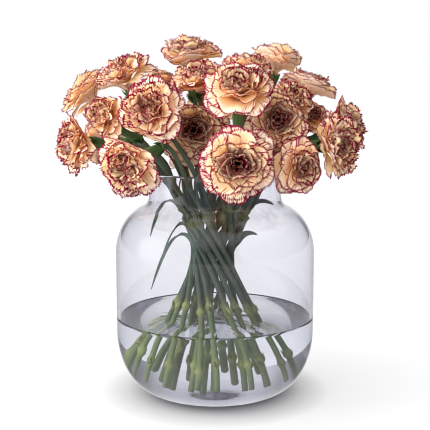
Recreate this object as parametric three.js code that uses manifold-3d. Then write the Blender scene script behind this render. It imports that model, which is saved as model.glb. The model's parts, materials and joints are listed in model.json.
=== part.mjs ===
// Carnations in a glass vase: a spiralled bunch of 26 cut flowers standing in water.
// Millimetres, +Z up. The origin is the middle of the vase's foot, on the surface it stands on.

import * as THREE from 'three';
import * as BufferGeometryUtils from 'three/addons/utils/BufferGeometryUtils.js';
import Module from 'manifold-3d';

const wasm = await Module();
wasm.setup();

// ---------- driving dimensions ----------

const vase = {
  footR: 61, // flat foot
  footStep: 0.5, // the foot's edge, out and up
  lip: 2,
  bodyR: 101.5,
  cornerZ: 66, // where the curved bottom corner ends
  cornerSteps: 4,
  wallTopZ: 144, // where the shoulder starts
  shoulderSteps: 3,
  shoulderR: 38, // shoulder arc, across and up
  shoulderH: 49,
  shoulderEnd: 62, // degrees of the shoulder arc
  fillet: [ // the hollow between the shoulder and the neck: outside the neck's radius, and height
    [3.2, 193.5],
    [0.4, 204],
  ],
  neckR: 67,
  rimR: 64.5,
  rimRound: 1,
  height: 226.5,
  wall: 3.5,
  floor: 8, // glass thickness under the water
  sides: 28,
};

const water = {
  level: 78.7,
  gap: 0.5, // clearance to the glass and round the stems
  holeBelow: 1, // how far a hole reaches beyond the stem's foot and above the water
  holeAbove: 12,
};

const bunch = {
  waistZ: 146, // height where the stems are closest
  waistR: 22,
  spacing: 7.8, // between neighbouring stems at the waist
  fit: 300, // rounds of pushing them apart
  push: 0.35, // share of what is missing that each of two stems gives way in a round
  keep: 0.75, // share of its reach at the neck that a stem has at the waist, at most
  twist: 0.0282, // slope of the spiral at the waist, per mm
  twistEase: 1.3e-4, // below the waist the stems wind less, per mm squared
  spreadDown: 0.0276, // and spread nearly straight, per mm
  spreadEase: 2.3e-5,
  stray: 4, // how far a stem strays on its own, low down
  strayMost: 1.4,
  neckZ: 230,
  forward: 22, // how far the middle of the bunch leans to the front
  forwardZ: 100,
  forwardSpan: 55,
};

const stem = {
  footZ: 13,
  footRise: 0.55, // the outer stems stop higher, on the curve of the glass
  bottomR: 2.8,
  topR: 2.4,
  nodeR: 3.9,
  nodeLength: 9,
  lowNodeZ: 84,
  lowNodeSpan: 26,
  highNodeZ: 176,
  highNodeSpan: 14,
  leave: [ // the farther its bloom, the higher a stem leaves the spiral: bloom's reach, height
    [60, 196],
    [75, 212],
    [Infinity, 226],
  ],
  midZ: 200, // a ring here for stems that stay longer
  startPull: 0.42, // shape of the free curve, in shares of its length
  endPull: 0.38,
  freeAt: [0, 0.3, 0.6],
  sides: 5,
};

const calyx = {
  reach: 44, // from its foot to the middle of the bloom
  length: 31,
  underH: -2, // ring under the calyx
  footH: 3,
  footR: 4.6,
  middleH: 12,
  middleR: 5.6,
  mouthR: 6.4,
};

const petal = {
  count: 5, // in each whorl
  thick: 0.95,
  edge: [0.76, 0.97, 0.89, 1], // reach along the edge: the cleft, a lobe, its notch, a lobe
  lift: [-0.7, 0.9, -0.9, 0.8], // and how the same points rise and fall
  fold: 1.2,
  ragged: 1.6,
  soft: 4, // how softly petals bend away from a neighbour
  firmR: 9, // nearer than this to the middle they stay as they are
  clear: 0.95, // half of the space left between two blooms
  depth: 15, // reach of a bloom along its own axis
  hubH: 4, // height in the bloom that its reach is measured from
  near: 8, // blooms farther apart than this don't press
  softMore: 1.2, // the more a petal has to give way, the softer its bend
  softRounds: 2,
  firmRounds: 4,
  uneven: [0.95, 0.08], // reach of a tooth: least, and what a draw adds
};

const leaf = {
  width: 10.5,
  keel: 1.6, // depth of the fold under its middle
  root: 0.55, // width where it clasps the stem
  slow: 0.35, // how much it falls behind its stem
  twist: 45, // degrees, from root to tip
  steps: 5,
};

// Narrow leaves that stand free of the bunch: the bloom whose stem bears the leaf, the height
// of its node, its bearing off the outward direction (degrees), its length, how far it
// leans out and how far its tip curls down (shares of its length).
const leaves = [
  { bloom: 1, z: 188, bearing: 0, length: 82, lean: 0.25, curl: 0 },
  { bloom: 2, z: 183, bearing: 0, length: 82, lean: 0.25, curl: 0 },
  { bloom: 5, z: 183, bearing: 80, length: 82, lean: 0.25, curl: 0 },
  { bloom: 6, z: 178, bearing: 110, length: 82, lean: 0.25, curl: 0 },
  { bloom: 7, z: 183, bearing: 20, length: 62, lean: 0.3, curl: 0.9 },
  { bloom: 9, z: 177, bearing: 110, length: 82, lean: 0.25, curl: 0 },
  { bloom: 9, z: 150, bearing: 25, length: 56, lean: 0.6, curl: 0.9 },
  { bloom: 14, z: 180, bearing: -110, length: 82, lean: 0.25, curl: 0 },
  { bloom: 18, z: 150, bearing: 0, length: 58, lean: 0.7, curl: 0.7 },
  { bloom: 19, z: 184, bearing: 0, length: 40, lean: 0.4, curl: 0.3 },
  { bloom: 19, z: 150, bearing: 15, length: 36, lean: 0.6, curl: 0.3 },
  { bloom: 20, z: 179, bearing: -110, length: 82, lean: 0.25, curl: 0 },
  { bloom: 21, z: 188, bearing: 0, length: 82, lean: 0.25, curl: 0 },
  { bloom: 22, z: 160, bearing: 0, length: 66, lean: 0.4, curl: 1 },
  { bloom: 24, z: 150, bearing: 0, length: 60, lean: 0.6, curl: 0.8 },
  { bloom: 26, z: 177, bearing: 50, length: 82, lean: 0.25, curl: 0 },
  { bloom: 26, z: 150, bearing: 0, length: 72, lean: 0.5, curl: 1.1 },
];

// One row for each bloom: its middle, the way it faces, its diameter and how far its stem
// is swung round the neck (degrees).
const blooms = [
  { at: [21, -92, 242], faces: [0, -0.99, 0.05], across: 74, swing: 0 },
  { at: [-60, -66, 286], faces: [-0.35, -0.8, 0.48], across: 73, swing: 18 },
  { at: [23, -60, 306], faces: [0.02, -0.58, 0.81], across: 75, swing: 0 },
  { at: [-22, -4, 268], faces: [0.04, -0.99, 0.12], across: 75, swing: 0 },
  { at: [-79, -74, 240], faces: [-0.6, -0.72, -0.3], across: 72, swing: 0 },
  { at: [-134, -24, 258], faces: [-0.88, -0.46, 0.12], across: 68, swing: 0 },
  { at: [-133, 34, 304], faces: [-0.72, 0.02, 0.69], across: 64, swing: 0 },
  { at: [-93, 0, 320], faces: [-0.5, -0.22, 0.83], across: 68, swing: 0 },
  { at: [-107, -22, 281], faces: [-0.7, -0.5, 0.5], across: 64, swing: 0 },
  { at: [-28, 42, 341], faces: [-0.14, -0.22, 0.97], across: 75, swing: -40 },
  { at: [-17, 0, 316], faces: [-0.25, -0.42, 0.87], across: 66, swing: 0 },
  { at: [-54, 46, 311], faces: [-0.25, 0.3, 0.9], across: 60, swing: 0 },
  { at: [33, 24, 329], faces: [0.05, -0.05, 0.99], across: 60, swing: 0 },
  { at: [66, 56, 337], faces: [0.3, 0.1, 0.95], across: 64, swing: 0 },
  { at: [93, 30, 309], faces: [0.3, -0.05, 0.95], across: 70, swing: 0 },
  { at: [76, -4, 296], faces: [0.3, -0.45, 0.84], across: 60, swing: 0 },
  { at: [60.5, -34, 278], faces: [0.15, -0.93, 0.32], across: 67, swing: 0 },
  { at: [98, 13, 281], faces: [0.3, -0.72, 0.62], across: 46, swing: 0 },
  { at: [114, -44, 255], faces: [0.72, -0.68, 0.05], across: 70, swing: 16 },
  { at: [130, 6, 272], faces: [0.8, -0.4, 0.42], across: 64, swing: 0 },
  { at: [80, -64, 239], faces: [0.5, -0.83, -0.2], across: 61, swing: -8 },
  { at: [-66, 82, 288], faces: [-0.5, 0.71, 0.5], across: 64, swing: 0 },
  { at: [2, 98, 300], faces: [0, 0.8, 0.6], across: 66, swing: 0 },
  { at: [70, 92, 278], faces: [0.46, 0.81, 0.36], across: 64, swing: 0 },
  { at: [-22, 104, 240], faces: [-0.1, 0.99, -0.05], across: 64, swing: 0 },
  { at: [-120, 66, 256], faces: [-0.71, 0.69, 0.1], across: 62, swing: 0 },
];

// Whorls of petals, from the outside in. Radii are shares of the bloom's own radius,
// heights are mm along the way it faces, measured from its middle.
const whorls = [
  { rootR: 5.4, rootH: -9.5, midR: 0.55, midH: -5, rimR: 1, rimH: -2, wave: 2.6, shift: 0, teeth: 4 },
  { rootR: 6.4, rootH: -3.5, rimR: 0.8, rimH: 8, wave: 2.6, shift: 2, teeth: 4 },
  { rootR: 7, rootH: 3, rimR: 0.54, rimH: 16, wave: 1.9, shift: 0, teeth: 2 },
];

// The small tight heart that the petals stand out of.
const heart = { bottomH: -12, bottomR: 5, crownR: 5.5, crownH: 15, jag: 2.2, dimpleH: 10 };

// ---------- materials ----------

const glassFinish = new THREE.MeshStandardMaterial({
  color: 0xe9ecf2,
  roughness: 0.03,
  metalness: 0,
  transparent: true,
  opacity: 0.25,
});
const waterFinish = new THREE.MeshStandardMaterial({
  color: 0xe4ebee,
  roughness: 0.02,
  metalness: 0,
  transparent: true,
  opacity: 0.3,
});
const petalFinish = new THREE.MeshStandardMaterial({ color: 0xe3b98a, roughness: 0.75, metalness: 0 });
const greenFinish = new THREE.MeshStandardMaterial({ color: 0x56684a, roughness: 0.6, metalness: 0 });

// ---------- small helpers ----------

const radians = (degrees) => (degrees * Math.PI) / 180;

// A repeatable draw between 0 and 1.
function makeDraw(seed) {
  let state = seed * 7919 + 17;
  return () => {
    state = (state * 16807) % 2147483647;
    return state / 2147483647;
  };
}

function meshFrom(points, faces) {
  const geometry = new THREE.BufferGeometry();
  const flat = points.flatMap((p) => [p.x, p.y, p.z]);
  geometry.setAttribute('position', new THREE.Float32BufferAttribute(flat, 3));
  geometry.setIndex(faces.flat());
  return geometry;
}

function toSolid(geometry) {
  const bare = geometry.clone();
  bare.deleteAttribute('normal');
  bare.deleteAttribute('uv');
  const merged = BufferGeometryUtils.mergeVertices(bare, 1e-4);
  const vertProperties = new Float32Array(merged.attributes.position.array);
  const triVerts = new Uint32Array(merged.index.array);
  return new wasm.Manifold(new wasm.Mesh({ numProp: 3, vertProperties, triVerts }));
}

function toGeometry(solid) {
  const mesh = solid.getMesh();
  const geometry = new THREE.BufferGeometry();
  geometry.setAttribute('position', new THREE.Float32BufferAttribute(mesh.vertProperties, 3));
  geometry.setIndex(Array.from(mesh.triVerts));
  return geometry;
}

// Rings of points joined into one closed skin, with a flat fan over each open end.
// A ring has as many points as the last one, twice as many, or half as many; one point is a tip.
// The upper face of a sheet is split into triangles as its underside is.
function loft(rings) {
  const points = rings.flat();
  const faces = [];
  let start = 0;
  for (let i = 0; i + 1 < rings.length; i++) {
    const m = rings[i].length;
    const n = rings[i + 1].length;
    const a = (j) => start + (j % m);
    const b = (j) => start + m + (j % n);
    for (let j = 0; j < Math.min(m, n) || (n === 1 && j < m); j++) {
      if (n === 1) {
        faces.push([a(j), a(j + 1), b(0)]);
      } else if (m === n && rings[i].upper && rings[i + 1].upper) {
        faces.push([a(j), a(j + 1), b(j)], [a(j + 1), b(j + 1), b(j)]);
      } else if (m === n) {
        faces.push([a(j), a(j + 1), b(j + 1)], [a(j), b(j + 1), b(j)]);
      } else if (n === 2 * m) {
        const k = 2 * j;
        faces.push([a(j), b(k + 1), b(k)], [a(j), a(j + 1), b(k + 1)], [a(j + 1), b(k + 2), b(k + 1)]);
      } else {
        const k = 2 * j;
        faces.push([a(k), a(k + 1), b(j)], [a(k + 1), b(j + 1), b(j)], [a(k + 1), a(k + 2), b(j + 1)]);
      }
    }
    start += m;
  }
  const closeWithFan = (first, count, flip) => {
    for (let j = 1; j + 1 < count; j++) {
      const fan = [first, first + j, first + j + 1];
      faces.push(flip ? fan.reverse() : fan);
    }
  };
  closeWithFan(0, rings[0].length, true);
  closeWithFan(start, rings[rings.length - 1].length, false);
  return meshFrom(points, faces);
}

// Two axes across a direction.
function axesAcross(direction) {
  const helper = Math.abs(direction.z) > 0.95 ? new THREE.Vector3(0, 1, 0) : new THREE.Vector3(0, 0, 1);
  const u = new THREE.Vector3().crossVectors(helper, direction).normalize();
  const v = new THREE.Vector3().crossVectors(direction, u);
  return [u, v];
}

// ---------- the vase and the water ----------

// A solid turned round the upright axis from its half outline.
function turned(profile) {
  return toSolid(new THREE.LatheGeometry(profile, vase.sides).rotateX(Math.PI / 2));
}

// Half outline of the glass, pulled in by `inset`, from the bottom corner up to the rim.
function glassOutline(inset) {
  const outline = [];
  const cornerR = vase.bodyR - vase.footR - vase.footStep;
  const bottomZ = inset > 0 ? vase.floor + inset - vase.wall : vase.lip;
  for (let i = 0; i <= vase.cornerSteps; i++) {
    const a = radians((i * 90) / vase.cornerSteps);
    const across = vase.footR + vase.footStep + Math.sin(a) * (cornerR - inset);
    const up = vase.cornerZ - Math.cos(a) * (vase.cornerZ - bottomZ);
    outline.push(new THREE.Vector2(across, up));
  }
  const middleR = vase.bodyR - vase.shoulderR;
  for (let i = 0; i <= vase.shoulderSteps; i++) {
    const a = radians((i * vase.shoulderEnd) / vase.shoulderSteps);
    const across = middleR + Math.cos(a) * (vase.shoulderR - inset);
    const up = vase.wallTopZ + Math.sin(a) * (vase.shoulderH - inset);
    outline.push(new THREE.Vector2(across, up));
  }
  for (const [beyond, z] of vase.fillet) {
    outline.push(new THREE.Vector2(vase.neckR + beyond - inset, z - inset / 2));
  }
  outline.push(new THREE.Vector2(vase.rimR - inset, vase.height));
  return outline;
}

function makeVase() {
  const outside = glassOutline(0);
  const inside = glassOutline(vase.wall).reverse();
  const profile = [
    new THREE.Vector2(0, 0),
    new THREE.Vector2(vase.footR, 0),
    ...outside.slice(0, -1),
    new THREE.Vector2(vase.rimR, vase.height - vase.rimRound),
    new THREE.Vector2(vase.rimR - vase.rimRound, vase.height),
    new THREE.Vector2(vase.rimR - vase.wall + vase.rimRound, vase.height),
    new THREE.Vector2(vase.rimR - vase.wall, vase.height - vase.rimRound),
    ...inside.slice(1),
    new THREE.Vector2(0, vase.floor),
  ];
  return toGeometry(turned(profile));
}

// ---------- the bunch: where each stem runs ----------

const bloomSites = blooms.map((row, i) => {
  const faces = new THREE.Vector3(...row.faces).normalize();
  const at = new THREE.Vector3(...row.at);
  const calyxFoot = at.clone().addScaledVector(faces, -calyx.reach);
  const [u, v] = axesAcross(faces);
  const outward = (a) => u.clone().multiplyScalar(Math.cos(a)).addScaledVector(v, Math.sin(a));
  const turn = makeDraw(51 + i)() * 2 * Math.PI;
  return { ...row, at, faces, calyxFoot, outward, turn, radius: row.across / 2 };
});

const turnAt = (z) => {
  const rise = z - bunch.waistZ;
  return bunch.twist * rise + (rise < 0 ? bunch.twistEase * rise * rise : 0);
};

const spreadAt = (z) => {
  const rise = z - bunch.waistZ;
  return Math.hypot(1, rise < 0 ? bunch.spreadDown * rise + bunch.spreadEase * rise * rise : turnAt(z));
};

const middleAt = (z) => -bunch.forward / (1 + ((z - bunch.forwardZ) / bunch.forwardSpan) ** 2);

// A stem that passes the waist at `place` is here at height z: the spiral widens and turns.
function spiral(place, z) {
  const spread = spreadAt(z);
  const angle = -Math.atan(turnAt(z));
  const c = Math.cos(angle);
  const s = Math.sin(angle);
  const x = spread * (place.x * c - place.y * s);
  const y = middleAt(z) + spread * (place.x * s + place.y * c);
  const stray = z < bunch.waistZ ? bunch.stray * Math.min(spread - 1, bunch.strayMost) : 0;
  const aside = stray * Math.sin(1.3 * place.x + 2.1 * place.y);
  const back = stray * Math.sin(2.9 * place.x - 1.7 * place.y);
  return new THREE.Vector3(x + aside, y + back, z);
}

// Places at the waist: each stem under its own bloom, then pushed apart until all fit.
function waistPlaces() {
  const atNeck = turnAt(bunch.neckZ);
  const places = bloomSites.map((site) => {
    const x = site.calyxFoot.x;
    const y = site.calyxFoot.y - middleAt(bunch.neckZ);
    const r = Math.min(bunch.waistR, (bunch.keep * Math.hypot(x, y)) / Math.hypot(1, atNeck));
    const bearing = Math.atan2(y, x) + radians(site.swing) + Math.atan(atNeck);
    return new THREE.Vector2(r * Math.cos(bearing), r * Math.sin(bearing));
  });
  for (let round = 0; round < bunch.fit; round++) {
    const moves = places.map(() => new THREE.Vector2());
    for (let i = 0; i < places.length; i++) {
      for (let j = i + 1; j < places.length; j++) {
        const away = places[j].clone().sub(places[i]);
        const apart = away.length();
        if (apart < bunch.spacing) {
          away.multiplyScalar((bunch.push * (bunch.spacing - apart)) / Math.max(apart, 1e-6));
          moves[i].sub(away);
          moves[j].add(away);
        }
      }
    }
    places.forEach((place, i) => place.add(moves[i]).clampLength(0, bunch.waistR));
  }
  return places;
}

// The line of one stem: up the spiral, then a free curve to the foot of its calyx.
function stemLine(site, place) {
  const reach = Math.hypot(site.calyxFoot.x, site.calyxFoot.y);
  const leaveZ = stem.leave.find(([upTo]) => reach < upTo)[1];
  const footZ = stem.footZ + stem.footRise * place.length();
  const start = spiral(place, leaveZ);
  const heading = spiral(place, leaveZ + 0.5).sub(spiral(place, leaveZ - 0.5)).normalize();
  const span = start.distanceTo(site.calyxFoot);
  const free = new THREE.CubicBezierCurve3(
    start,
    start.clone().addScaledVector(heading, span * stem.startPull),
    site.calyxFoot.clone().addScaledVector(site.faces, -span * stem.endPull),
    site.calyxFoot,
  );
  return { place, footZ, leaveZ, free };
}

const waist = waistPlaces();
const stemLines = bloomSites.map((site, i) => {
  const draw = makeDraw(i + 1);
  const nodes = [stem.lowNodeZ + stem.lowNodeSpan * draw(), stem.highNodeZ + stem.highNodeSpan * draw()];
  return { ...stemLine(site, waist[i]), nodes };
});
const radiusAt = (z) => THREE.MathUtils.mapLinear(z, 0, bunch.neckZ, stem.bottomR, stem.topR);

// ---------- stems with nodes and calyx ----------

// Stops along a stem: a point and a radius for each ring of its skin.
function stemStops(line, site) {
  const stops = [];
  const addNode = (z) => {
    stops.push([spiral(line.place, z - stem.nodeLength / 2), radiusAt(z)]);
    stops.push([spiral(line.place, z), stem.nodeR]);
    stops.push([spiral(line.place, z + stem.nodeLength / 2), radiusAt(z)]);
  };
  stops.push([spiral(line.place, line.footZ), radiusAt(line.footZ)]);
  addNode(line.nodes[0]);
  addNode(line.nodes[1]);
  if (line.leaveZ > stem.midZ) stops.push([spiral(line.place, stem.midZ), radiusAt(stem.midZ)]);
  for (const t of stem.freeAt) {
    stops.push([line.free.getPoint(t), stem.topR]);
  }
  const calyxAt = (h) => site.calyxFoot.clone().addScaledVector(site.faces, h);
  stops.push([calyxAt(calyx.underH), stem.topR]);
  stops.push([calyxAt(calyx.footH), calyx.footR]);
  stops.push([calyxAt(calyx.middleH), calyx.middleR]);
  stops.push([calyxAt(calyx.length), calyx.mouthR]);
  return stops;
}

// A skin round a row of stops, its rings square to the line and never twisted.
function tube(stops, sides, grow) {
  const rings = [];
  let u = new THREE.Vector3(1, 0, 0);
  stops.forEach(([point, radius], i) => {
    const before = stops[Math.max(i - 1, 0)][0];
    const after = stops[Math.min(i + 1, stops.length - 1)][0];
    const along = after.clone().sub(before).normalize();
    u = u.clone().addScaledVector(along, -u.dot(along)).normalize();
    const v = new THREE.Vector3().crossVectors(along, u);
    const ring = [];
    for (let j = 0; j < sides; j++) {
      const a = (2 * Math.PI * j) / sides;
      const r = radius + grow;
      ring.push(point.clone().addScaledVector(u, r * Math.cos(a)).addScaledVector(v, r * Math.sin(a)));
    }
    rings.push(ring);
  });
  return loft(rings);
}

// A narrow leaf: a keeled blade that rises along its stem, leans out and curls at the tip.
function makeLeaf(row) {
  const { place } = stemLines[row.bloom - 1];
  const root = spiral(place, row.z);
  const along = spiral(place, row.z + 1).sub(spiral(place, row.z - 1)).normalize();
  const out = new THREE.Vector3(root.x, root.y - middleAt(row.z), 0).normalize();
  out.applyAxisAngle(new THREE.Vector3(0, 0, 1), radians(row.bearing));
  const across = new THREE.Vector3().crossVectors(along, out);
  const path = (t) => root.clone()
    .addScaledVector(along, row.length * t * (1 - leaf.slow * t))
    .addScaledVector(out, row.length * row.lean * t * t)
    .add(new THREE.Vector3(0, 0, -row.length * row.curl * t ** 3));
  const handed = out.x > 0 ? 1 : -1;
  const rings = [];
  for (let k = 0; k < leaf.steps; k++) {
    const t = k / leaf.steps;
    const ahead = path(t + 0.02).sub(path(t)).normalize();
    const face = new THREE.Vector3().crossVectors(ahead, across).normalize();
    const side = new THREE.Vector3().crossVectors(face, ahead);
    side.applyAxisAngle(ahead, radians(leaf.twist) * t * handed);
    face.applyAxisAngle(ahead, radians(leaf.twist) * t * handed);
    const half = 0.5 * leaf.width * Math.sqrt(1 - t) * (t === 0 ? leaf.root : 1);
    const keel = path(t).addScaledVector(face, -leaf.keel);
    rings.push([path(t).addScaledVector(side, -half), keel, path(t).addScaledVector(side, half)]);
  }
  rings.push([path(1)]);
  return loft(rings);
}

function makeStem(i) {
  let solid = toSolid(tube(stemStops(stemLines[i], bloomSites[i]), stem.sides, 0));
  for (const row of leaves.filter((each) => each.bloom === i + 1)) {
    solid = solid.add(toSolid(makeLeaf(row)));
  }
  return toGeometry(solid);
}

// ---------- blooms ----------

// Half-spaces that keep each bloom clear of its neighbours: a normal and how far it may reach.
function roomOf(i) {
  const hubOf = (site) => site.at.clone().addScaledVector(site.faces, petal.hubH);
  const reachOf = (site, n) => {
    const c = Math.abs(n.dot(site.faces));
    return Math.sqrt(site.radius ** 2 * (1 - c * c) + petal.depth ** 2 * c * c);
  };
  const own = bloomSites[i];
  const limits = [];
  bloomSites.forEach((other, j) => {
    if (j === i) return;
    const n = hubOf(other).sub(hubOf(own));
    const apart = n.length();
    n.normalize();
    const mine = reachOf(own, n);
    const theirs = reachOf(other, n);
    if (apart < mine + theirs + petal.near) {
      const share = apart * (mine / (mine + theirs));
      limits.push({ n, far: share - petal.clear, mine });
    }
  });
  return { hub: hubOf(own), limits };
}

// Moves a petal point that would press into a neighbour back to its own side.
function bendClear(point, room) {
  const q = point.sub(room.hub);
  for (let pass = 0; pass < petal.softRounds; pass++) {
    for (const { n, far, mine } of room.limits) {
      const bend = petal.softMore * Math.max(mine - far, 0) + petal.soft;
      const soft = Math.min(bend, far - petal.firmR);
      const s = q.dot(n);
      const from = far - soft;
      if (s > from) {
        const allowed = from + soft * (1 - Math.exp(-(s - from) / soft));
        q.addScaledVector(n, allowed - s);
      }
    }
  }
  for (let pass = 0; pass < petal.firmRounds; pass++) {
    for (const { n, far } of room.limits) {
      const over = q.dot(n) - far;
      if (over > 0) q.addScaledVector(n, -over);
    }
  }
  q.add(room.hub);
}

// One whorl: a thin ruffled sheet, cleft between its petals and toothed along their edges.
// Its rings run out along the underside and back along the upper side, alike on both.
function whorlRings(whorl, site, room, draw) {
  const slope = Math.atan2(whorl.rimH - whorl.rootH, site.radius * whorl.rimR - whorl.rootR);
  const under = [];
  const over = [];
  const addRing = (count, shapeAt) => {
    const low = [];
    const high = [];
    for (let j = 0; j < count; j++) {
      const { r, h } = shapeAt(j);
      const out = site.outward(site.turn + (2 * Math.PI * j) / count);
      const middle = site.at.clone().addScaledVector(out, r).addScaledVector(site.faces, h);
      const across = site.faces.clone().multiplyScalar(Math.cos(slope)).addScaledVector(out, -Math.sin(slope));
      bendClear(middle, room);
      low.push(middle.clone().addScaledVector(across, -petal.thick / 2));
      high.push(middle.clone().addScaledVector(across, petal.thick / 2));
    }
    high.upper = true;
    under.push(low);
    over.unshift(high);
  };
  const folds = 2 * petal.count;
  addRing(folds, () => ({ r: whorl.rootR, h: whorl.rootH }));
  if (whorl.midR) {
    addRing(folds, (j) => ({
      r: whorl.midR * site.radius,
      h: whorl.midH + (j % 2 === whorl.shift / 2 ? -petal.fold : petal.fold),
    }));
  }
  addRing(whorl.teeth * petal.count, (j) => {
    const k = whorl.teeth === 4 ? (j + whorl.shift) % 4 : (j % 2) * 3;
    const [least, more] = petal.uneven;
    const r = whorl.rimR * site.radius * petal.edge[k] * (least + more * draw());
    return { r, h: whorl.rimH + whorl.wave * petal.lift[k] + petal.ragged * (draw() - 0.5) };
  });
  return [...under, ...over];
}

// A whole bloom is one skin: up the heart, out and back along each whorl, to a jagged crown.
function makeBloom(i) {
  const site = bloomSites[i];
  const room = roomOf(i);
  const draw = makeDraw(101 + i);
  const heartRing = (r, h, jag) => {
    const ring = [];
    for (let j = 0; j < 2 * petal.count; j++) {
      const out = site.outward(site.turn + (Math.PI * j) / petal.count);
      const lift = h + (j % 2 === 0 ? jag : -jag);
      ring.push(site.at.clone().addScaledVector(out, r).addScaledVector(site.faces, lift));
    }
    return ring;
  };
  const rings = [heartRing(heart.bottomR, heart.bottomH, 0)];
  whorls.forEach((whorl) => rings.push(...whorlRings(whorl, site, room, draw)));
  rings.push(heartRing(heart.crownR, heart.crownH, heart.jag));
  rings.push([site.at.clone().addScaledVector(site.faces, heart.dimpleH)]);
  return loft(rings);
}

// ---------- the water, with a plain hole for each stem ----------

function makeWater() {
  const outline = glassOutline(vase.wall + water.gap).filter((p) => p.y < water.level);
  const wallR = vase.bodyR - vase.wall - water.gap;
  const profile = [
    new THREE.Vector2(0, outline[0].y),
    ...outline,
    new THREE.Vector2(wallR, water.level),
    new THREE.Vector2(0, water.level),
  ];
  let solid = turned(profile);
  for (const line of stemLines) {
    const low = spiral(line.place, line.footZ);
    const high = spiral(line.place, line.nodes[0] - stem.nodeLength / 2);
    const along = high.clone().sub(low).normalize();
    low.addScaledVector(along, -water.holeBelow);
    high.addScaledVector(along, water.holeAbove);
    const hole = tube([[low, radiusAt(line.footZ)], [high, radiusAt(water.level)]], stem.sides, water.gap);
    solid = solid.subtract(toSolid(hole));
  }
  return toGeometry(solid);
}

// ---------- the whole part ----------

const part = new THREE.Group();

function addPiece(name, geometry, material) {
  const mesh = new THREE.Mesh(geometry, material);
  mesh.name = name;
  part.add(mesh);
}

addPiece('vase', makeVase(), glassFinish);
addPiece('water', makeWater(), waterFinish);
blooms.forEach((row, i) => {
  const number = String(i + 1).padStart(2, '0');
  addPiece(`bloom_${number}`, makeBloom(i), petalFinish);
  addPiece(`stem_${number}`, makeStem(i), greenFinish);
});

export default part;
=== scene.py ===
import json
import math

import bpy
import numpy as np
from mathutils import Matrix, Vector

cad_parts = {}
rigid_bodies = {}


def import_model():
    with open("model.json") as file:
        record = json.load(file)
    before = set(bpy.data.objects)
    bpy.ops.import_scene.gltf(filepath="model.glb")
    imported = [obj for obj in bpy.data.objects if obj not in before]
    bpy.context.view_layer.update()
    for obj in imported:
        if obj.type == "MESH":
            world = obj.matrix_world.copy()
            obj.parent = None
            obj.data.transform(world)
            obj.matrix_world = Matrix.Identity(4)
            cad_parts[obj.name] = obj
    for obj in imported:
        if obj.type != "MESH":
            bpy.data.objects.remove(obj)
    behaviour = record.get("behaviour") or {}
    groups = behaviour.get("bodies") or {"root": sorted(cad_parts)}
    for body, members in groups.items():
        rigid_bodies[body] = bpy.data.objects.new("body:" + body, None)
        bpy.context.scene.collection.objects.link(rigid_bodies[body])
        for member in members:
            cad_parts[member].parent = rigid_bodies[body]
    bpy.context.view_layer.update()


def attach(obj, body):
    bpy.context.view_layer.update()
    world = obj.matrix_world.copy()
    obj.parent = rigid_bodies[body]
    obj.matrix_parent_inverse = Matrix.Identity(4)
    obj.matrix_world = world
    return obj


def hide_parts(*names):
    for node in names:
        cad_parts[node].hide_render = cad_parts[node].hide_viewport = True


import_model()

# Shapes are worked out in millimetres and made in metres, in the part's own frame.
metre = 0.001
fullTurn = 6.28  # radians, near enough for an angle that is drawn


def hexTint(code):
    # A colour as a screen shows it, as the shader's own linear numbers.
    parts = [int(code[i:i + 2], 16) / 255 for i in (0, 2, 4)]
    linear = [p / 12.92 if p <= 0.04045 else ((p + 0.055) / 1.055) ** 2.4 for p in parts]
    return (*linear, 1)


def linked(name, data):
    thing = bpy.data.objects.new(name, data)
    bpy.context.scene.collection.objects.link(thing)
    return thing


class Nodes:
    # Adds nodes to a tree. Every value given to them may be a socket or a plain number.
    def __init__(self, tree):
        self.tree = tree

    def feed(self, socket, value):
        if isinstance(value, bpy.types.NodeSocket):
            self.tree.links.new(value, socket)
        else:
            socket.default_value = value

    def node(self, kind, values=None, **settings):
        made = self.tree.nodes.new(kind)
        for key, value in settings.items():
            setattr(made, key, value)
        for key, value in (values or {}).items():
            self.feed(made.inputs[key], value)
        return made

    def calc(self, operation, *values):
        return self.node("ShaderNodeMath", dict(enumerate(values)), operation=operation).outputs[0]

    def plus(self, a, b):
        return self.calc("ADD", a, b)

    def minus(self, a, b):
        return self.calc("SUBTRACT", a, b)

    def times(self, a, b):
        return self.calc("MULTIPLY", a, b)

    def scaled(self, value, by, start):
        return self.calc("MULTIPLY_ADD", value, by, start)

    def larger(self, a, b):
        return self.calc("MAXIMUM", a, b)

    def step(self, value, low, high, atLow=0.0, atHigh=1.0):
        values = {"Value": value, "From Min": low, "From Max": high, "To Min": atLow, "To Max": atHigh}
        return self.node("ShaderNodeMapRange", values, interpolation_type="SMOOTHSTEP").outputs[0]

    def vector(self, x, y, z):
        return self.node("ShaderNodeCombineXYZ", {0: x, 1: y, 2: z}).outputs[0]


class Finish(Nodes):
    # A material under construction.
    def __init__(self, name):
        self.material = bpy.data.materials.new(name)
        self.material.use_nodes = True
        super().__init__(self.material.node_tree)
        self.shader = self.tree.nodes["Principled BSDF"]
        self.output = self.tree.nodes["Material Output"]

    def mark(self, name):
        return self.node("ShaderNodeAttribute", attribute_name=name).outputs["Fac"]

    def objectPoint(self):
        return self.node("ShaderNodeTexCoord").outputs["Object"]

    def noise(self, vector, scale, detail):
        values = {"Vector": vector, "Scale": scale, "Detail": detail}
        return self.node("ShaderNodeTexNoise", values).outputs["Fac"]

    def mix(self, amount, a, b, how="MIX"):
        values = {"Factor": amount, 6: a, 7: b}
        return self.node("ShaderNodeMix", values, data_type="RGBA", blend_type=how).outputs[2]

    def bump(self, height, strength, distance):
        values = {"Height": height, "Strength": strength, "Distance": distance}
        self.set(Normal=self.node("ShaderNodeBump", values).outputs[0])

    def set(self, **values):
        for key, value in values.items():
            self.feed(self.shader.inputs[key.replace("_", " ")], value)

    def blendWith(self, other, amount):
        both = self.node("ShaderNodeMixShader", {0: amount, 1: self.shader.outputs[0], 2: other.outputs[0]})
        self.feed(self.output.inputs["Surface"], both.outputs[0])


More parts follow.
